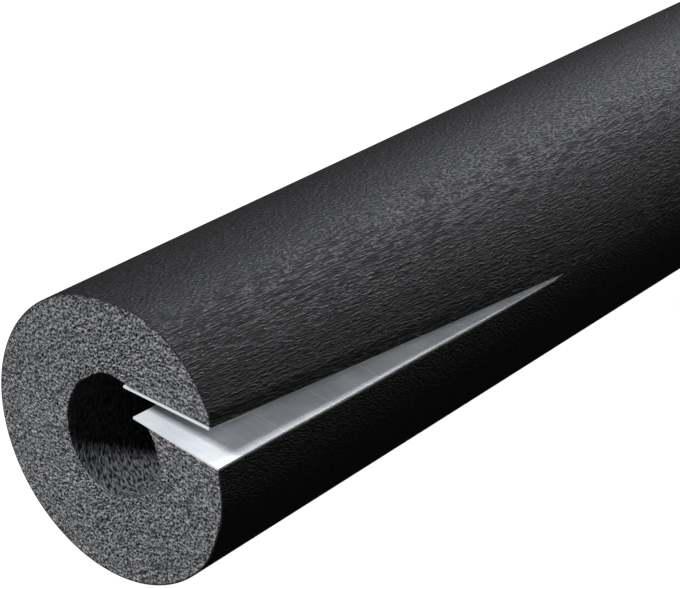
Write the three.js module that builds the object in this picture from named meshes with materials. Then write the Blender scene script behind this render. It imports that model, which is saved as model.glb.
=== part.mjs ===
// One length of slit foam pipe lagging with self-sealing edges.
// The tube lies along X with its sprung-open end at -X and its slit on the -Y side.
// A cross-section is described as seen from the open end: angles run anticlockwise
// from the right (-Y), radii run from the tube's axis. Lengths are millimetres.

import * as THREE from 'three';

const { degToRad, lerp, smoothstep } = THREE.MathUtils;

// The foam tube
const LENGTH = 1000;
const BORE_DIAMETER = 28;
const WALL = 19.5;

// The slit, where it is shut: it meets the skin at this angle and slopes down outwards
const SLIT_ANGLE = 5.4;
const SLIT_SLOPE = 9;

// The slit stands open at the near end and narrows to nothing over this length
const OPEN_LENGTH = 128;

// Release liners on the two slit faces, set back from the skin, loose past the bore
const LINER_WIDTH = 24;
const LINER_THICKNESS = 0.5;
const LINER_SETBACK = 0.8;
const CLEARANCE = 0.3;

// How the slit's widest section differs from the shut one. The lips turn the surfaces
// beside them this many degrees round. Each pair is an angle and how far the surface
// stands out (+) or in (-) there, as a share of the most that either one moves, from
// the upper lip round to the lower. The first and last are the slit faces' corners.
const LIP_ANGLE = 85;
const MOST_SPREAD = 2.5;
const SKIN_SPREAD_BY_ANGLE = [
  [24.8, -0.52], [31, -0.12], [48, 0.28], [66, 0.48], [91, 0],
  [318, 0], [341, -0.44], [367.2, -0.88],
];
const BORE_SPREAD_BY_ANGLE = [
  [68.3, 1], [87, 0.96], [122, 0.2], [149, -0.24], [186, -0.52],
  [220, -0.48], [287, -0.32], [355, 0.16], [367, -0.16], [393.2, -0.28],
];

// How finely the surfaces are divided. 40 steps round lay one of the skin's flat
// facets level at the very bottom, where the tube touches the floor.
const STEPS_PER_TURN = 40;
const STEPS_OPEN = 12;
const STEPS_SHUT = 4;

const BORE_RADIUS = BORE_DIAMETER / 2;
const SKIN_RADIUS = BORE_RADIUS + WALL;
const SLIT_WIDTH = 2 * LINER_THICKNESS + 3 * CLEARANCE;
const FULL_TURN = 360;

const foamMaterial = new THREE.MeshStandardMaterial({ color: 0x2b2c2e, roughness: 0.75, metalness: 0 });
const linerMaterial = new THREE.MeshStandardMaterial({ color: 0xd7dbe0, roughness: 0.35, metalness: 0 });

// Place in the cross-section, in the frame's Y and Z, of an angle and a radius
function polar(angle, radius) {
  const turn = degToRad(angle);
  return new THREE.Vector2(-radius * Math.cos(turn), radius * Math.sin(turn));
}

// Angle at which a shut slit face cuts a circle; the side is +1 for the upper face
function shutAngle(radius, side) {
  const normalAngle = 90 - SLIT_SLOPE;
  const slitToAxis = SKIN_RADIUS * Math.cos(degToRad(normalAngle - SLIT_ANGLE));
  const faceToAxis = slitToAxis + side * SLIT_WIDTH / 2;
  return normalAngle - THREE.MathUtils.radToDeg(Math.acos(faceToAxis / radius));
}

// Stand-off at an angle, eased from each listed pair to the next
function standOff(spread, angle) {
  const later = spread.findIndex(([listed]) => listed > angle);
  const next = later < 0 ? spread.length - 1 : Math.max(1, later);
  const [fromAngle, from] = spread[next - 1];
  const [toAngle, to] = spread[next];
  return MOST_SPREAD * lerp(from, to, smoothstep(angle, fromAngle, toAngle));
}

// A point of the skin or the bore: the share is 0 at the upper lip and 1 at the lower
function roundSurface(radius, spread, share, opening) {
  const upper = shutAngle(radius, 1);
  const lower = shutAngle(radius, -1) + FULL_TURN;
  const shut = lerp(upper, lower, share);
  const reach = LIP_ANGLE / FULL_TURN;
  const turned = (spread[0][0] - upper) * (1 - smoothstep(share, 0, reach))
    + (spread[spread.length - 1][0] - lower) * smoothstep(share, 1 - reach, 1);
  return polar(shut + opening * turned, radius + opening * standOff(spread, shut + turned));
}

const skin = (share, opening) => roundSurface(SKIN_RADIUS, SKIN_SPREAD_BY_ANGLE, share, opening);
const bore = (share, opening) => roundSurface(BORE_RADIUS, BORE_SPREAD_BY_ANGLE, share, opening);

// How far open the slit is at a distance from the near end, from 1 down to 0
function openingAt(distance) {
  return Math.max(0, 1 - distance / OPEN_LENGTH);
}

// Distance from the near end of each cross-section: close together where it is open
function stations() {
  const open = Array.from({ length: STEPS_OPEN }, (_, i) => OPEN_LENGTH * i / STEPS_OPEN);
  const shut = Array.from({ length: STEPS_SHUT + 1 }, (_, i) => (
    lerp(OPEN_LENGTH, LENGTH, i / STEPS_SHUT)
  ));
  return [...open, ...shut];
}

// A block with a cross-section at every station, moved into place by a function that
// turns (share across, share through, opening) into a point of the cross-section
function bentBlock(stepsAcross, placePoint) {
  const distances = stations();
  const steps = distances.length - 1;
  const block = new THREE.BoxGeometry(1, 1, 1, steps, stepsAcross, 1);
  const points = block.attributes.position;
  for (let i = 0; i < points.count; i += 1) {
    const distance = distances[Math.round((points.getX(i) + 0.5) * steps)];
    const place = placePoint(points.getY(i) + 0.5, points.getZ(i) + 0.5, openingAt(distance));
    points.setXYZ(i, distance - LENGTH / 2, place.x, place.y);
  }
  block.computeVertexNormals();
  return block;
}

function namedMesh(name, geometry, material) {
  const mesh = new THREE.Mesh(geometry, material);
  mesh.name = name;
  return mesh;
}

// The block's width runs round the tube and its thickness from the bore to the skin
function foamTube() {
  const wall = (around, outwards, opening) => (
    bore(around, opening).lerp(skin(around, opening), outwards)
  );
  return namedMesh('foam_tube', bentBlock(STEPS_PER_TURN, wall), foamMaterial);
}

// A strip along one slit face; the side is +1 for the upper face and -1 for the lower
function releaseLiner(name, side) {
  const lip = side > 0 ? 0 : 1;
  const strip = (inwards, through, opening) => {
    const corner = skin(lip, opening);
    const along = bore(lip, opening).sub(corner).normalize();
    const intoSlit = new THREE.Vector2(-along.y, along.x).multiplyScalar(-side);
    const standing = side > 0 ? 1 - through : through;
    return corner
      .addScaledVector(along, LINER_SETBACK + LINER_WIDTH * inwards)
      .addScaledVector(intoSlit, CLEARANCE + LINER_THICKNESS * standing);
  };
  return namedMesh(name, bentBlock(1, strip), linerMaterial);
}

const lagging = new THREE.Group();
lagging.add(foamTube());
lagging.add(releaseLiner('upper_release_liner', 1));
lagging.add(releaseLiner('lower_release_liner', -1));

// The tube lies on the floor, so its lowest point is at height 0
lagging.position.z = -new THREE.Box3().setFromObject(lagging).min.z;

export default lagging;
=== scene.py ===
# One length of slit foam pipe lagging with self-sealing edges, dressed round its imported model.
# The tube lies along X with its sprung-open end at -X and its slit on the -Y side.
# A cross-section is described as seen from the open end: angles run anticlockwise
# from the right (-Y), radii run from the tube's axis. Lengths are millimetres.
from math import radians

import bmesh
import bpy
import numpy as np
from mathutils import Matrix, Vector


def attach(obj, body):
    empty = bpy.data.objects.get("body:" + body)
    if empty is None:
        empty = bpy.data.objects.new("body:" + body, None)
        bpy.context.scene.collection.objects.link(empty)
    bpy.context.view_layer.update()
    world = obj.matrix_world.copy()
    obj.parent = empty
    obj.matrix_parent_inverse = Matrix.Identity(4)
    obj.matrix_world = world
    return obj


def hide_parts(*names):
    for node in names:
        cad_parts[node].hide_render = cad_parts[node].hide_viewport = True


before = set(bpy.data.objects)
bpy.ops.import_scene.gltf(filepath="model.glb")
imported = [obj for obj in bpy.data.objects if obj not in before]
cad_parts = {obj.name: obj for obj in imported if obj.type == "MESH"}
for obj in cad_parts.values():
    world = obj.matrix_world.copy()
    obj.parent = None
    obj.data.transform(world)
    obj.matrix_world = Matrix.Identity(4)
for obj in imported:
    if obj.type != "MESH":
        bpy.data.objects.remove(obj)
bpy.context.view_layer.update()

MM = 0.001

# The foam tube
LENGTH = 1000
BORE_DIAMETER = 28
WALL = 19.5
BORE_RADIUS = BORE_DIAMETER / 2
SKIN_RADIUS = BORE_RADIUS + WALL
AXIS_HEIGHT = SKIN_RADIUS

# The slit, where it is shut: it meets the skin at this angle and slopes down outwards
SLIT_ANGLE = 5.4
SLIT_SLOPE = 9
SLIT_WIDTH = 1.9
OPEN_LENGTH = 128
FULL_TURN = 360

# Where the slit shuts its lower lip swells up until only a hairline is left
HAIRLINE = 0.45

# How the slit's widest section differs from the shut one, as in the solids: an angle
# and how far the surface stands out (+) or in (-), as a share of the most it moves
LIP_ANGLE = 85
MOST_SPREAD = 2.5
SKIN_SPREAD = [
    (24.8, -0.52), (31, -0.12), (48, 0.28), (66, 0.48), (91, 0),
    (318, 0), (341, -0.44), (367.2, -0.88),
]
BORE_SPREAD = [
    (68.3, 1), (87, 0.96), (122, 0.2), (149, -0.24), (186, -0.52),
    (220, -0.48), (287, -0.32), (355, 0.16), (367, -0.16), (393.2, -0.28),
]

# Release liners. They are drawn in from the lips and pressed flat, to a share of their lift
# and thickness, where the slit is open by less than these shares
LINER_WIDTH = 24
LINER_THICKNESS = 0.5
LINER_CLEARANCE = 0.12
UPPER_SETBACK = 0.55
LOWER_SETBACK = 0.25
LINER_SETBACK_SHUT = 1.6
LINER_DRAWN_FROM = 0.04
LINER_PRESSED = 0.2
LINER_PRESSED_FROM = 0.35
LINER_WAVE = 0.08
LINER_WAVE_LENGTH = 46

# How finely a liner is divided, closer together towards the open end, and the angle from
# which its edges are sharp
LINER_STEPS = 120
LINER_STEPS_ACROSS = 14
LINER_CROWDING = 0.75
LINER_SHARP_ANGLE = 30

# How finely the tube is divided, and the gap in degrees that spinning it leaves for the slit
STEPS_AROUND = 288
STEPS_THROUGH = 34
STEPS_OPEN = 14
STEPS_SHUT = 16
SPIN_GAP = 6
TOUCH = 0.01

# The tube's surfaces. A face is on a cut end if its normal runs this much along the tube,
# and otherwise on the slit if it runs less than this much in or out
SLOTS = ("skin", "ends", "bore", "slit")
END_NORMAL = 0.9
ROUND_NORMAL = 0.5

# The cells that the cut ends lay open: their size, where wall turns into pit as a share of
# it, and their depth. They stray from a regular net, and their walls are lighter in specks,
# in cells. The specks are partly a random tone and partly painted glints, and the pits are
# painted darker as painted shade, fainter in some cells
CELL = 0.88
CELL_WALL_WIDTH = (0.05, 0.26)
CELL_DEPTH = 0.25
CELL_BUMP = 0.5
CELL_STRAY = 0.5
CELL_STRAY_LENGTH = 1.6
CELL_SPECK_LENGTH = 0.6
CELL_SPECK_NOISE = (0.35, 0.65)
FAINTEST_PIT_SHADE = 0.35

# The rims of the cut ends are softened, and the skin's own thickness shows there as a line
RIM = 0.15
RIM_LINE = (0.18, 0.45)
# The walls' greys, the lighter one partly painted glints, and the pits' grey, which is painted shade
WALL_AND_GLINT_GREYS = ("#3c3c3e", "#adadad")
PIT_SHADE_GREY = "#0a0a0b"
RIM_GREY = "#262628"

# The skin's wrinkles: a turn from the tube's length, a length and a pitch. Beside the
# slit they run with the tube, among long creases, and towards the top they lie askew.
# The noise heights say where a crease begins, where the skin's wrinkles are rubbed smooth,
# and where the bore turns from painted shade in its grooves to painted light on its crests
SLIT_WRINKLES = (0, 1.4, 0.55)
TOP_WRINKLES = (-20, 1.1, 0.5)
CREASES = (0, 6, 0.5)
BORE_WRINKLES = (115, 1.6, 0.5)
WRINKLE_WAVER = 0.5
WRINKLE_DEPTH = 0.21
CREASE_DEPTH = 0.28
CREASE_NOISE = (0.34, 0.46)
SKIN_RUBBED_NOISE = (0.25, 0.6)
BORE_CREST_NOISE = (0.3, 0.7)
SKIN_ROUGHNESS = (0.8, 0.5)

# How far round from the slit the wrinkles change over, which wanders from patch to patch
CHANGE_OVER = (27, 45)
CHANGE_WANDER = 20
CHANGE_PATCH = 14
SKIN_BLACK = "#0b0b0c"
# The bore's greys: the darker is painted shade in its grooves, the lighter is painted light on its
# crests
BORE_SHADE_AND_LIGHT_GREYS = ("#131314", "#737477")

# On the slit's faces the blade has smeared the cells, to this many times their length
# The slit faces' greys are painted shade of the shut slit, the darker one in the pits
SLIT_SHADE_GREYS = ("#101011", "#2c2d2f")
SLIT_SMEAR = 2
SLIT_PIT_WIDTH = 0.3
SLIT_CELL_DEPTH = 0.1

# The film has streaks across it, clouds of tone and an embossed grid
FILM_GREY = "#d8dce0"
FILM_WHITE = "#f8f9fa"
FILM_LINE_PITCH = 16.2
FILM_LINE_FROM = 4.3
FILM_LINE_WIDTH = 0.5
FILM_RUBBED = (8, 18)
FILM_LINE_TONE = 0.9
FILM_LINE_DEPTH = 0.05
FILM_STREAK = (1.1, 7)
FILM_STREAK_SHARE = 0.5
FILM_CLOUD = 9
FILM_NOISE = (0.4, 1.1)
FILM_CORE_WHITE = "#fafbfc"
FILM_FIBRE = 0.6

# The camera, fitted to the photograph. Its place is measured from the near end's middle
PHOTO_WIDTH = 680
FOCAL_PIXELS = 2201
SENSOR_WIDTH = 36
CAMERA_PITCH = 25.53
CAMERA_HEADING = 38.82
CAMERA_FROM_END = (-288.1, -294.6, 230.2)
CAMERA_CLIP = (0.01, 100)

# The softboxes, each with the way to it from the tube, its width in metres and its power
# in watts. The key lights the cut end, the back lights draw the band along the skin, and
# the fill reaches into the slit
LIT_POINT = (-400, 0, 30)
LIGHT_DISTANCE = 4
LIGHTS = (
    ("key_light", (-0.6, 0.25, 0.76), 0.8, 188),
    ("back_light", (0.7, 0, 0.5), 1.4, 36),
    ("high_back_light", (0.36, -0.02, 0.5), 0.8, 101),
    ("side_back_light", (0.75, -0.35, 0.5), 1.2, 8),
    ("low_back_light", (0.9, 0, 0.3), 1.4, 17),
    ("fill_light", (0.1, -0.8, 0.58), 1.7, 34),
)
DAYLIGHT = "#f9fbff"
WHITE = "#ffffff"
FLOOR_GREY = "#595959"
FLOOR_SIZE = 8
SURROUNDINGS = 0.01


def smooth(t):
    t = np.clip(t, 0, 1)
    return t * t * (3 - 2 * t)


def lerp(a, b, t):
    return a + (b - a) * t


def polar(angle, radius):
    """Places in the cross-section, across Y and up Z, of angles and radii."""
    turn = np.radians(angle)
    return np.stack([-radius * np.cos(turn), radius * np.sin(turn)], -1)


def shut_angle(radius, side, opening):
    """Angle at which a shut slit face cuts a circle; the side is +1 for the upper face.
    The lower face swells up as the slit shuts."""
    normal_angle = 90 - SLIT_SLOPE
    slit_to_axis = SKIN_RADIUS * np.cos(np.radians(normal_angle - SLIT_ANGLE))
    face_to_axis = slit_to_axis + side * SLIT_WIDTH / 2
    if side < 0:
        face_to_axis = face_to_axis + (SLIT_WIDTH - HAIRLINE) * (1 - opening)
    return normal_angle - np.degrees(np.arccos(face_to_axis / radius))


def stand_off(spread, angle):
    """Stand-off at each angle, eased from each listed pair to the next."""
    listed, stands = np.array(spread).T
    step = np.clip(np.searchsorted(listed, angle, side="right"), 1, len(listed) - 1)
    ease = smooth((angle - listed[step - 1]) / (listed[step] - listed[step - 1]))
    return MOST_SPREAD * lerp(stands[step - 1], stands[step], ease)


def round_surface(radius, spread, share, opening):
    """Points of the skin or the bore: the share is 0 at the upper lip and 1 at the lower."""
    upper = shut_angle(radius, 1, opening)
    lower = shut_angle(radius, -1, opening) + FULL_TURN
    shut = lerp(upper, lower, share)
    reach = LIP_ANGLE / FULL_TURN
    turned = (spread[0][0] - upper) * (1 - smooth(share / reach))
    turned = turned + (spread[-1][0] - lower) * smooth((share - 1 + reach) / reach)
    return polar(shut + opening * turned, radius + opening * stand_off(spread, shut + turned))


def skin(share, opening):
    return round_surface(SKIN_RADIUS, SKIN_SPREAD, share, opening)


def bore(share, opening):
    return round_surface(BORE_RADIUS, BORE_SPREAD, share, opening)


def opening_at(distance):
    """How far open the slit is at a distance from the near end, from 1 down to 0."""
    return np.maximum(0, 1 - distance / OPEN_LENGTH)


def slit_face(side, opening):
    """A slit face's outer corner, the way in along it and the way off it into the slit."""
    lip = np.full_like(opening, 0.0 if side > 0 else 1.0)
    corner = skin(lip, opening)
    along = bore(lip, opening) - corner
    along /= np.linalg.norm(along, axis=-1, keepdims=True)
    into = np.stack([-along[..., 1], along[..., 0]], -1) * -side
    return corner, along, into


def wall(share, outwards, opening):
    """Points of the foam: outwards is 0 at the bore and 1 at the skin."""
    return lerp(bore(share, opening), skin(share, opening), outwards[:, None])


def placed(distance, section):
    """Places in metres in the frame, of distances from the near end and section points."""
    frame_points = np.column_stack([distance - LENGTH / 2, section])
    frame_points[:, 2] += AXIS_HEIGHT
    return frame_points * MM


def edit_nothing_selected(piece):
    bpy.ops.object.select_all(action="DESELECT")
    bpy.context.view_layer.objects.active = piece
    piece.select_set(True)
    bpy.ops.object.mode_set(mode="EDIT")
    bpy.ops.mesh.select_mode(type="FACE")
    bpy.ops.mesh.select_all(action="DESELECT")


def pick_faces(piece, wanted):
    """Selects the faces that wanted says yes to, by their middle and normal."""
    mesh = bmesh.from_edit_mesh(piece.data)
    for face in mesh.faces:
        face.select_set(wanted(face.calc_center_median(), face.normal))
    bmesh.update_edit_mesh(piece.data)


def object_mode():
    bpy.ops.object.mode_set(mode="OBJECT")


def vertex_places(piece):
    places = np.empty(len(piece.data.vertices) * 3, np.float32)
    piece.data.vertices.foreach_get("co", places)
    return places.reshape(-1, 3).astype(float)


def move_vertices(piece, places):
    piece.data.vertices.foreach_set("co", places.astype(np.float32).ravel())
    piece.data.update()


def store(piece, name, values):
    """Keeps a number for each vertex of the piece, under a name."""
    attribute = piece.data.attributes.new(name, "FLOAT", "POINT")
    attribute.data.foreach_set("value", values.astype(np.float32))


def fill_map(piece, layer, flat):
    """Fills a UV map of the piece with a flat place for each vertex."""
    corners = np.empty(len(piece.data.loops), np.int32)
    piece.data.loops.foreach_get("vertex_index", corners)
    layer.uv.foreach_set("vector", flat[corners].astype(np.float32).ravel())


def add(tree, kind, inputs=None, **settings):
    """Adds a node, sets what is given and links what is a socket."""
    node = tree.nodes.new(kind)
    for name, value in settings.items():
        setattr(node, name, value)
    for name, value in (inputs or {}).items():
        if isinstance(value, bpy.types.NodeSocket):
            tree.links.new(value, node.inputs[name])
        else:
            node.inputs[name].default_value = value
    return node


def linear(hex_colour):
    """An sRGB hex colour as linear numbers."""
    parts = [int(hex_colour[i:i + 2], 16) / 255 for i in (1, 3, 5)]
    return [c / 12.92 if c <= 0.04045 else ((c + 0.055) / 1.055) ** 2.4 for c in parts] + [1.0]


def new_material(name, roughness, specular):
    """A material with its node tree and its shader."""
    material = bpy.data.materials.new(name)
    material.use_nodes = True
    tree = material.node_tree
    shader = tree.nodes["Principled BSDF"]
    shader.inputs["Roughness"].default_value = roughness
    shader.inputs["Specular IOR Level"].default_value = specular
    return material, tree, shader


def object_place(tree):
    return add(tree, "ShaderNodeTexCoord").outputs["Object"]


def cut_cells(tree, place):
    """Where a plane across the tube cuts the foam's cells, none of them quite regular."""
    apart = add(tree, "ShaderNodeSeparateXYZ", {"Vector": place})
    across = add(tree, "ShaderNodeCombineXYZ", {"Y": apart.outputs["Y"], "Z": apart.outputs["Z"]})
    warp = add(tree, "ShaderNodeTexNoise",
               {"Vector": across.outputs["Vector"], "Scale": 1 / (CELL_STRAY_LENGTH * CELL * MM),
                "Detail": 1})
    return add(tree, "ShaderNodeVectorMath",
               {0: warp.outputs["Color"], 1: [CELL_STRAY * CELL * MM] * 3,
                2: across.outputs["Vector"]}, operation="MULTIPLY_ADD").outputs["Vector"]


def cell_depth(tree, where):
    """How deep the cut cells are, from 0 on a wall to 1 in a cell."""
    cells = add(tree, "ShaderNodeTexVoronoi", {"Vector": where, "Scale": 1 / (CELL * MM)},
                feature="DISTANCE_TO_EDGE")
    return add(tree, "ShaderNodeMapRange", {"Value": cells.outputs["Distance"],
                                            "From Min": CELL_WALL_WIDTH[0],
                                            "From Max": CELL_WALL_WIDTH[1]},
               interpolation_type="SMOOTHSTEP").outputs["Result"]


def wrinkles(tree, flat, turn, length, pitch):
    """Heights from 0 to 1 of wrinkles of a length and a pitch, turned on the flat skin."""
    laid = add(tree, "ShaderNodeMapping",
               {"Vector": flat, "Rotation": (0, 0, radians(turn)),
                "Scale": (length * MM, pitch * MM, 1)}, vector_type="TEXTURE")
    return add(tree, "ShaderNodeTexNoise",
               {"Vector": laid.outputs["Vector"], "Scale": 1, "Detail": 0,
                "Distortion": WRINKLE_WAVER}, noise_dimensions="2D").outputs["Fac"]


def spun_tube():
    """A plain slit tube: a grid spun round the axis for the open stretch, then drawn out."""
    along = (OPEN_LENGTH - LENGTH) / 2 * MM
    across = -(BORE_RADIUS + WALL / 2) * MM
    bpy.ops.mesh.primitive_grid_add(x_subdivisions=STEPS_OPEN, y_subdivisions=STEPS_THROUGH,
                                    size=1, location=(along, across, 0))
    tube = bpy.context.object
    tube.name = "foam_lagging"
    tube.data.name = "foam_lagging"
    tube.scale = (OPEN_LENGTH * MM, WALL * MM, 1)
    bpy.ops.object.transform_apply(location=True, rotation=True, scale=True)
    edit_nothing_selected(tube)
    bpy.ops.mesh.select_all(action="SELECT")
    bpy.ops.transform.rotate(value=-radians(SPIN_GAP / 2), orient_axis="X",
                             center_override=(0, 0, 0))
    bpy.ops.mesh.spin(steps=STEPS_AROUND, angle=radians(FULL_TURN - SPIN_GAP),
                      center=(0, 0, 0), axis=(-1, 0, 0))
    shut_from = (OPEN_LENGTH - LENGTH / 2) * MM
    bpy.ops.mesh.select_all(action="DESELECT")
    pick_faces(tube, lambda middle, normal: middle.x > shut_from - TOUCH * MM)
    stride = (LENGTH - OPEN_LENGTH) / STEPS_SHUT * MM
    for _ in range(STEPS_SHUT):
        bpy.ops.mesh.extrude_region_move(TRANSFORM_OT_translate={"value": (stride, 0, 0)})
    bpy.ops.mesh.select_all(action="SELECT")
    bpy.ops.mesh.remove_doubles(threshold=TOUCH * MM)
    bpy.ops.mesh.normals_make_consistent(inside=False)
    object_mode()
    return tube


def sort_by_surface(tube):
    """Gives each face of the plain tube its material slot, before the slit is sprung."""
    for face in tube.data.polygons:
        outwards = Vector((0, *face.center.yz)).normalized()
        if abs(face.normal.x) > END_NORMAL:
            face.material_index = SLOTS.index("ends")
        elif abs(face.normal.dot(outwards)) < ROUND_NORMAL:
            face.material_index = SLOTS.index("slit")
        elif face.normal.dot(outwards) > 0:
            face.material_index = SLOTS.index("skin")
        else:
            face.material_index = SLOTS.index("bore")


def sharpen_between_surfaces(tube):
    """Shades the tube smooth, but for the edges where two of its surfaces meet."""
    edit_nothing_selected(tube)
    for slot in range(len(SLOTS)):
        tube.active_material_index = slot
        bpy.ops.mesh.select_mode(type="FACE")
        bpy.ops.mesh.select_all(action="DESELECT")
        bpy.ops.object.material_slot_select()
        bpy.ops.mesh.region_to_loop()
        bpy.ops.mesh.mark_sharp()
    object_mode()
    bpy.ops.object.shade_smooth()


def foam_tube(materials):
    tube = spun_tube()
    for material in materials:
        tube.data.materials.append(material)
    sort_by_surface(tube)
    edit_nothing_selected(tube)
    pick_faces(tube, lambda middle, normal: abs(normal.x) > END_NORMAL)
    bpy.ops.mesh.subdivide(number_cuts=1)
    object_mode()
    sharpen_between_surfaces(tube)

    plain = vertex_places(tube) / MM
    distance = plain[:, 0] + LENGTH / 2
    radius = np.hypot(plain[:, 1], plain[:, 2])
    angle = np.degrees(np.arctan2(plain[:, 2], -plain[:, 1])) % FULL_TURN
    share = np.clip((angle - SPIN_GAP / 2) / (FULL_TURN - SPIN_GAP), 0, 1)
    outwards = np.clip((radius - BORE_RADIUS) / WALL, 0, 1)
    opening = opening_at(distance)
    section = wall(share, outwards, opening)

    # The cut ends' rims are softened, and their cells sink in away from the rims
    near = distance < TOUCH
    far = distance > LENGTH - TOUCH
    lip = np.minimum(share, 1 - share) * 2 * np.pi * lerp(BORE_RADIUS, SKIN_RADIUS, outwards)
    from_rim = np.minimum(np.minimum(outwards, 1 - outwards) * WALL, lip)
    softened = RIM * (1 - np.sqrt(1 - np.clip(1 - from_rim / RIM, 0, 1) ** 2))
    distance = distance + near * softened - far * softened
    move_vertices(tube, placed(distance, section))
    inside = smooth((from_rim - RIM) / CELL)
    store(tube, "cell_relief", inside * near - inside * far)
    store(tube, "from_skin", (1 - outwards) * WALL)
    sink_cells(tube)

    # The skin and the bore laid flat, in metres: along, then round
    unrolled = np.column_stack([distance, share * 2 * np.pi * SKIN_RADIUS]) * MM
    fill_map(tube, tube.data.uv_layers.new(name="unrolled"), unrolled)
    return tube


def sink_cells(tube):
    """Sinks the cut cells of both ends into the foam, where their pattern has them."""
    tree = bpy.data.node_groups.new("cut_cells", "GeometryNodeTree")
    tree.interface.new_socket(name="Geometry", in_out="INPUT", socket_type="NodeSocketGeometry")
    tree.interface.new_socket(name="Geometry", in_out="OUTPUT", socket_type="NodeSocketGeometry")
    mesh = add(tree, "NodeGroupInput").outputs["Geometry"]
    place = add(tree, "GeometryNodeInputPosition").outputs["Position"]
    depth = cell_depth(tree, cut_cells(tree, place))
    way = add(tree, "GeometryNodeInputNamedAttribute", {"Name": "cell_relief"})
    sunk = add(tree, "ShaderNodeMath", {0: depth, 1: way.outputs["Attribute"]}, operation="MULTIPLY")
    sunk = add(tree, "ShaderNodeMath", {0: sunk.outputs[0], 1: CELL_DEPTH * MM}, operation="MULTIPLY")
    offset = add(tree, "ShaderNodeCombineXYZ", {"X": sunk.outputs[0]})
    moved = add(tree, "GeometryNodeSetPosition", {"Geometry": mesh, "Offset": offset.outputs[0]})
    add(tree, "NodeGroupOutput", {"Geometry": moved.outputs["Geometry"]})
    modifier = tube.modifiers.new("cut_cells", "NODES")
    modifier.node_group = tree
    bpy.ops.object.modifier_apply(modifier=modifier.name)


def film_course(side, distance, across):
    """Where a liner's middle runs in the cross-section, how deep in from the skin it is, and
    how freely it stands off the foam: 0 where it is pressed flat and 1 where it is loose."""
    opening = opening_at(distance)
    corner, along, into = slit_face(side, opening)
    open_setback = UPPER_SETBACK if side > 0 else LOWER_SETBACK
    setback = lerp(LINER_SETBACK_SHUT, open_setback, smooth(opening / LINER_DRAWN_FROM))
    depth = setback + LINER_WIDTH * across
    standing = smooth(opening / LINER_PRESSED_FROM)
    wave = LINER_WAVE * np.sin(distance / LINER_WAVE_LENGTH * 2 * np.pi + side)
    lift = LINER_CLEARANCE + LINER_THICKNESS / 2 + LINER_WAVE + wave
    lift = lift * lerp(LINER_PRESSED, 1, standing)
    return corner + along * depth[:, None] + into * lift[:, None], depth, standing


def thicken_film(strip, standing):
    """Gives the film its thickness, which is less where it is pressed flat."""
    thickness = strip.vertex_groups.new(name="thickness")
    for vertex, weight in enumerate(standing):
        thickness.add([vertex], weight, "REPLACE")
    solid = strip.modifiers.new("film", "SOLIDIFY")
    solid.thickness = LINER_THICKNESS * MM
    solid.offset = 0
    solid.vertex_group = thickness.name
    solid.thickness_vertex_group = LINER_PRESSED
    solid.material_offset_rim = 1
    bpy.ops.object.modifier_apply(modifier=solid.name)


def release_liner(name, side, materials):
    """A strip of release film along one slit face, loose past the bore. The side is +1 for
    the upper face and -1 for the lower. The materials are the film's face and its cut edge."""
    bpy.ops.object.select_all(action="DESELECT")
    bpy.ops.mesh.primitive_grid_add(x_subdivisions=LINER_STEPS, y_subdivisions=LINER_STEPS_ACROSS,
                                    size=1, location=(0, 0, 0))
    strip = bpy.context.object
    strip.name = name
    strip.data.name = name
    for material in materials:
        strip.data.materials.append(material)
    along, across = vertex_places(strip)[:, :2].T + 0.5
    distance = LENGTH * lerp(along, along ** 2, LINER_CROWDING)
    section, depth, standing = film_course(side, distance, across)
    move_vertices(strip, placed(distance, section))
    layer = strip.data.uv_layers[0]
    layer.name = "along_and_across"
    fill_map(strip, layer, np.column_stack([distance, depth]) * MM)
    thicken_film(strip, standing)
    edit_nothing_selected(strip)
    bpy.ops.mesh.select_all(action="SELECT")
    bpy.ops.mesh.normals_make_consistent(inside=False)
    object_mode()
    bpy.ops.object.shade_smooth_by_angle(angle=radians(LINER_SHARP_ANGLE))
    return strip


def foam_skin():
    """Elastomeric foam, extruded: a dull black skin, drawn into fine leathery wrinkles."""
    material, tree, shader = new_material("extruded_elastomeric_foam_skin",
                                          roughness=SKIN_ROUGHNESS[1], specular=0.4)
    flat = add(tree, "ShaderNodeUVMap", uv_map="unrolled").outputs["UV"]
    round_the_tube = add(tree, "ShaderNodeSeparateXYZ", {"Vector": flat}).outputs["Y"]
    patches = add(tree, "ShaderNodeTexNoise",
                  {"Vector": object_place(tree), "Scale": 1 / (CHANGE_PATCH * MM)})
    wander = add(tree, "ShaderNodeMath", {0: patches.outputs["Fac"], 1: CHANGE_WANDER * MM,
                                          2: round_the_tube}, operation="MULTIPLY_ADD")
    towards_top = add(tree, "ShaderNodeMapRange",
                      {"Value": wander.outputs[0], "From Min": CHANGE_OVER[0] * MM,
                       "From Max": CHANGE_OVER[1] * MM})
    creases = add(tree, "ShaderNodeMapRange",
                  {"Value": wrinkles(tree, flat, *CREASES), "From Min": CREASE_NOISE[0],
                   "From Max": CREASE_NOISE[1], "To Min": -CREASE_DEPTH / WRINKLE_DEPTH,
                   "To Max": 0}).outputs["Result"]
    beside_slit = add(tree, "ShaderNodeMath", {0: wrinkles(tree, flat, *SLIT_WRINKLES), 1: creases})
    height = add(tree, "ShaderNodeMix",
                 {"Factor": towards_top.outputs[0], "A": beside_slit.outputs[0],
                  "B": wrinkles(tree, flat, *TOP_WRINKLES)}).outputs["Result"]
    bump = add(tree, "ShaderNodeBump", {"Height": height, "Distance": WRINKLE_DEPTH * MM})
    # The tops of the wrinkles are rubbed smoother than the grooves between them
    crest_ramp = add(tree, "ShaderNodeMapRange",
                 {"Value": height, "From Min": SKIN_RUBBED_NOISE[0], "From Max": SKIN_RUBBED_NOISE[1],
                  "To Min": SKIN_ROUGHNESS[0], "To Max": SKIN_ROUGHNESS[1]})
    shader.inputs["Base Color"].default_value = linear(SKIN_BLACK)
    tree.links.new(crest_ramp.outputs["Result"], shader.inputs["Roughness"])
    tree.links.new(bump.outputs["Normal"], shader.inputs["Normal"])
    return material


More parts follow.
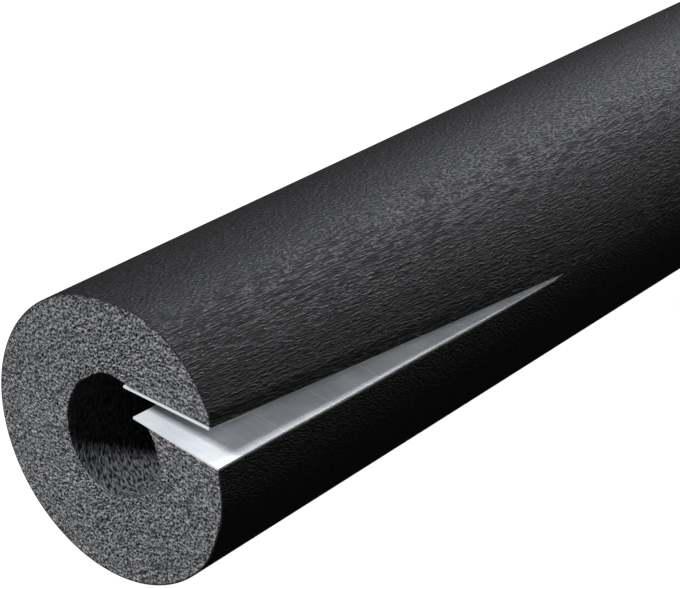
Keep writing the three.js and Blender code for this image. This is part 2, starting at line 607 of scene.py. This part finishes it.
def foam_cells():
    """Elastomeric foam, cut across with a knife: open cells in painted shade, in a net of grey walls
    with specks partly of painted glint.
    """
    material, tree, shader = new_material("knife_cut_foam_cells", roughness=0.6, specular=0.4)
    where = cut_cells(tree, object_place(tree))
    depth = cell_depth(tree, where)
    # The walls' tone differs at random, and its lightest specks are painted glints
    wall_specks = add(tree, "ShaderNodeTexNoise",
               {"Vector": where, "Scale": 1 / (CELL_SPECK_LENGTH * CELL * MM), "Detail": 1})
    wall_specks = add(tree, "ShaderNodeMapRange",
               {"Value": wall_specks.outputs["Fac"], "From Min": CELL_SPECK_NOISE[0],
                "From Max": CELL_SPECK_NOISE[1]}).outputs["Result"]
    walls = add(tree, "ShaderNodeMix", {"Factor": wall_specks, "A": linear(WALL_AND_GLINT_GREYS[0]),
                                        "B": linear(WALL_AND_GLINT_GREYS[1])}, data_type="RGBA")
    # Painted shade in the cells, fainter in some cells than in others
    each = add(tree, "ShaderNodeTexVoronoi", {"Vector": where, "Scale": 1 / (CELL * MM)})
    tint = add(tree, "ShaderNodeSeparateColor", {"Color": each.outputs["Color"]}).outputs["Red"]
    shade = add(tree, "ShaderNodeMath", {0: tint, 1: 1 - FAINTEST_PIT_SHADE, 2: FAINTEST_PIT_SHADE},
                operation="MULTIPLY_ADD")
    shade = add(tree, "ShaderNodeMath", {0: depth, 1: shade.outputs[0]}, operation="MULTIPLY")
    cut = add(tree, "ShaderNodeMix", {"Factor": shade.outputs[0], "A": walls.outputs["Result"],
                                      "B": linear(PIT_SHADE_GREY)}, data_type="RGBA")
    # The skin's own thickness shows as a dark line round the cut
    from_skin = add(tree, "ShaderNodeAttribute", attribute_name="from_skin").outputs["Fac"]
    line = add(tree, "ShaderNodeMapRange", {"Value": from_skin, "From Min": RIM_LINE[0],
                                            "From Max": RIM_LINE[1], "To Min": 1, "To Max": 0})
    colour = add(tree, "ShaderNodeMix", {"Factor": line.outputs["Result"],
                                         "A": cut.outputs["Result"], "B": linear(RIM_GREY)},
                 data_type="RGBA")
    bump = add(tree, "ShaderNodeBump", {"Height": depth, "Distance": CELL_DEPTH * MM,
                                        "Strength": CELL_BUMP}, invert=True)
    tree.links.new(colour.outputs["Result"], shader.inputs["Base Color"])
    tree.links.new(bump.outputs["Normal"], shader.inputs["Normal"])
    return material


def foam_slit():
    """Elastomeric foam, slit lengthwise with a blade: its cells smeared along the cut, painted dark
    as the shade inside the shut slit, darker still in the pits.
    """
    material, tree, shader = new_material("blade_slit_foam", roughness=0.75, specular=0.3)
    smeared = add(tree, "ShaderNodeMapping",
                  {"Vector": object_place(tree),
                   "Scale": (SLIT_SMEAR * CELL * MM, CELL * MM, CELL * MM)}, vector_type="TEXTURE")
    cells = add(tree, "ShaderNodeTexVoronoi", {"Vector": smeared.outputs["Vector"], "Scale": 1},
                feature="DISTANCE_TO_EDGE")
    depth = add(tree, "ShaderNodeMapRange",
                {"Value": cells.outputs["Distance"], "From Max": SLIT_PIT_WIDTH},
                interpolation_type="SMOOTHSTEP").outputs["Result"]
    # Painted shade: dark overall, and darker in the smeared cells' pits
    colour = add(tree, "ShaderNodeMix", {"Factor": depth, "A": linear(SLIT_SHADE_GREYS[1]),
                                         "B": linear(SLIT_SHADE_GREYS[0])}, data_type="RGBA")
    bump = add(tree, "ShaderNodeBump", {"Height": depth, "Distance": SLIT_CELL_DEPTH * MM},
               invert=True)
    tree.links.new(colour.outputs["Result"], shader.inputs["Base Color"])
    tree.links.new(bump.outputs["Normal"], shader.inputs["Normal"])
    return material


def foam_bore():
    """Elastomeric foam, extruded over a mandrel: a dull skin, puckered round the bore, with painted
    shade in its grooves and painted light on its crests.
    """
    material, tree, shader = new_material("extruded_foam_bore_skin", roughness=0.55, specular=0.4)
    flat = add(tree, "ShaderNodeUVMap", uv_map="unrolled").outputs["UV"]
    narrowed = add(tree, "ShaderNodeMapping",
                   {"Vector": flat, "Scale": (1, BORE_RADIUS / SKIN_RADIUS, 1)})
    height = wrinkles(tree, narrowed.outputs["Vector"], *BORE_WRINKLES)
    # Painted shade in the grooves and painted light on the crests
    crest_ramp = add(tree, "ShaderNodeMapRange", {"Value": height, "From Min": BORE_CREST_NOISE[0],
                                              "From Max": BORE_CREST_NOISE[1]})
    colour = add(tree, "ShaderNodeMix", {"Factor": crest_ramp.outputs["Result"],
                                         "A": linear(BORE_SHADE_AND_LIGHT_GREYS[0]),
                                         "B": linear(BORE_SHADE_AND_LIGHT_GREYS[1])}, data_type="RGBA")
    bump = add(tree, "ShaderNodeBump", {"Height": height, "Distance": WRINKLE_DEPTH * MM})
    tree.links.new(colour.outputs["Result"], shader.inputs["Base Color"])
    tree.links.new(bump.outputs["Normal"], shader.inputs["Normal"])
    return material


def release_film():
    """Siliconised release film, embossed with a faint grid: a satin silvery white."""
    material, tree, shader = new_material("siliconised_release_film", roughness=0.35, specular=0.5)
    flat = add(tree, "ShaderNodeUVMap", uv_map="along_and_across").outputs["UV"]
    apart = add(tree, "ShaderNodeSeparateXYZ", {"Vector": flat})
    masks = []
    for flat_place, first, pitch in ((apart.outputs["X"], FILM_LINE_FROM, FILM_LINE_PITCH),
                                     (apart.outputs["Y"], LINER_WIDTH / 2, LINER_WIDTH)):
        moved = add(tree, "ShaderNodeMath", {0: flat_place, 1: first * MM}, operation="SUBTRACT")
        away = add(tree, "ShaderNodeMath", {0: moved.outputs[0], 1: pitch / 2 * MM},
                   operation="PINGPONG")
        masks.append(add(tree, "ShaderNodeMapRange",
                         {"Value": away.outputs[0], "From Max": FILM_LINE_WIDTH * MM, "To Min": 1,
                          "To Max": 0}, interpolation_type="SMOOTHSTEP").outputs["Result"])
    lines = add(tree, "ShaderNodeMath", {0: masks[0], 1: masks[1]}, operation="MAXIMUM").outputs[0]
    # Handling has rubbed the grid off at the open end
    kept = add(tree, "ShaderNodeMapRange",
               {"Value": apart.outputs["X"], "From Min": FILM_RUBBED[0] * MM,
                "From Max": FILM_RUBBED[1] * MM}).outputs["Result"]
    lines = add(tree, "ShaderNodeMath", {0: lines, 1: kept}, operation="MULTIPLY").outputs[0]
    laid = add(tree, "ShaderNodeMapping",
               {"Vector": flat, "Scale": (FILM_STREAK[0] * MM, FILM_STREAK[1] * MM, 1)},
               vector_type="TEXTURE")
    streaks = add(tree, "ShaderNodeTexNoise", {"Vector": laid.outputs["Vector"], "Scale": 1},
                  noise_dimensions="2D").outputs["Fac"]
    clouds = add(tree, "ShaderNodeTexNoise",
                 {"Vector": flat, "Scale": 1 / (FILM_CLOUD * MM), "Detail": 1},
                 noise_dimensions="2D").outputs["Fac"]
    tone = add(tree, "ShaderNodeMath", {0: streaks, 1: FILM_STREAK_SHARE, 2: clouds},
               operation="MULTIPLY_ADD")
    tone = add(tree, "ShaderNodeMapRange", {"Value": tone.outputs[0], "From Min": FILM_NOISE[0],
                                            "From Max": FILM_NOISE[1]}).outputs["Result"]
    tone = add(tree, "ShaderNodeMath", {0: lines, 1: FILM_LINE_TONE, 2: tone},
               operation="MULTIPLY_ADD")
    colour = add(tree, "ShaderNodeMix", {"Factor": tone.outputs[0], "A": linear(FILM_GREY),
                                         "B": linear(FILM_WHITE)}, data_type="RGBA")
    bump = add(tree, "ShaderNodeBump", {"Height": lines, "Distance": FILM_LINE_DEPTH * MM})
    tree.links.new(colour.outputs["Result"], shader.inputs["Base Color"])
    tree.links.new(bump.outputs["Normal"], shader.inputs["Normal"])
    return material


def film_edge():
    """Release film, cut through: its matt core shows whiter than the glazed face."""
    material, tree, shader = new_material("cut_film_core", roughness=0.7, specular=0.3)
    fibres = add(tree, "ShaderNodeTexNoise",
                 {"Vector": object_place(tree), "Scale": 1 / (FILM_FIBRE * MM)})
    colour = add(tree, "ShaderNodeMix", {"Factor": fibres.outputs["Fac"], "A": linear(FILM_WHITE),
                                         "B": linear(FILM_CORE_WHITE)}, data_type="RGBA")
    tree.links.new(colour.outputs["Result"], shader.inputs["Base Color"])
    return material


def camera():
    """The photograph's place and angle of view."""
    lens = bpy.data.cameras.new("camera")
    lens.sensor_width = SENSOR_WIDTH
    lens.lens = FOCAL_PIXELS / PHOTO_WIDTH * SENSOR_WIDTH
    lens.clip_start, lens.clip_end = CAMERA_CLIP
    eye = bpy.data.objects.new("camera", lens)
    bpy.context.collection.objects.link(eye)
    eye.location = Vector(CAMERA_FROM_END) * MM + Vector((-LENGTH / 2, 0, AXIS_HEIGHT)) * MM
    eye.rotation_euler = (radians(90 - CAMERA_PITCH), 0, radians(CAMERA_HEADING - 90))
    bpy.context.scene.camera = eye


def softbox(name, towards, width, power):
    """A square area light, aimed back at the tube's near half."""
    lamp = bpy.data.lights.new(name, "AREA")
    lamp.size = width
    lamp.energy = power
    lamp.color = linear(DAYLIGHT)[:3]
    box = bpy.data.objects.new(name, lamp)
    bpy.context.collection.objects.link(box)
    way = Vector(towards).normalized()
    box.location = Vector(LIT_POINT) * MM + way * LIGHT_DISTANCE
    box.rotation_euler = way.to_track_quat("Z", "Y").to_euler()


def floor():
    """A white floor that lights nothing and that nothing reflects."""
    bpy.ops.object.select_all(action="DESELECT")
    bpy.ops.mesh.primitive_plane_add(size=FLOOR_SIZE, location=(0, 0, 0))
    ground = bpy.context.object
    ground.name = "floor"
    material, _, shader = new_material("pale_floor", roughness=0.5, specular=0)
    shader.inputs["Base Color"].default_value = linear(FLOOR_GREY)
    shader.inputs["Emission Color"].default_value = linear(WHITE)
    shader.inputs["Emission Strength"].default_value = 1
    ground.data.materials.append(material)
    ground.visible_diffuse = False
    ground.visible_glossy = False


def backdrop():
    """White behind the tube for the camera, dim all round for what the tube reflects."""
    world = bpy.data.worlds.new("studio")
    bpy.context.scene.world = world
    world.use_nodes = True
    tree = world.node_tree
    seen = add(tree, "ShaderNodeLightPath").outputs["Is Camera Ray"]
    brightness = add(tree, "ShaderNodeMapRange", {"Value": seen, "To Min": SURROUNDINGS, "To Max": 1})
    tree.nodes["Background"].inputs["Color"].default_value = linear(WHITE)
    tree.links.new(brightness.outputs["Result"], tree.nodes["Background"].inputs["Strength"])


bpy.context.scene.view_settings.view_transform = "Standard"
camera()
backdrop()
floor()
for light in LIGHTS:
    softbox(*light)

film = [release_film(), film_edge()]
lagging = foam_tube([foam_skin(), foam_cells(), foam_bore(), foam_slit()])
upper = release_liner("upper_liner_film", 1, film)
lower = release_liner("lower_liner_film", -1, film)
for piece, node, slot in ((lagging, "foam_tube", "foam"), (upper, "upper_release_liner", "liner"),
                          (lower, "lower_release_liner", "liner")):
    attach(piece, "root")
    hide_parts(node)
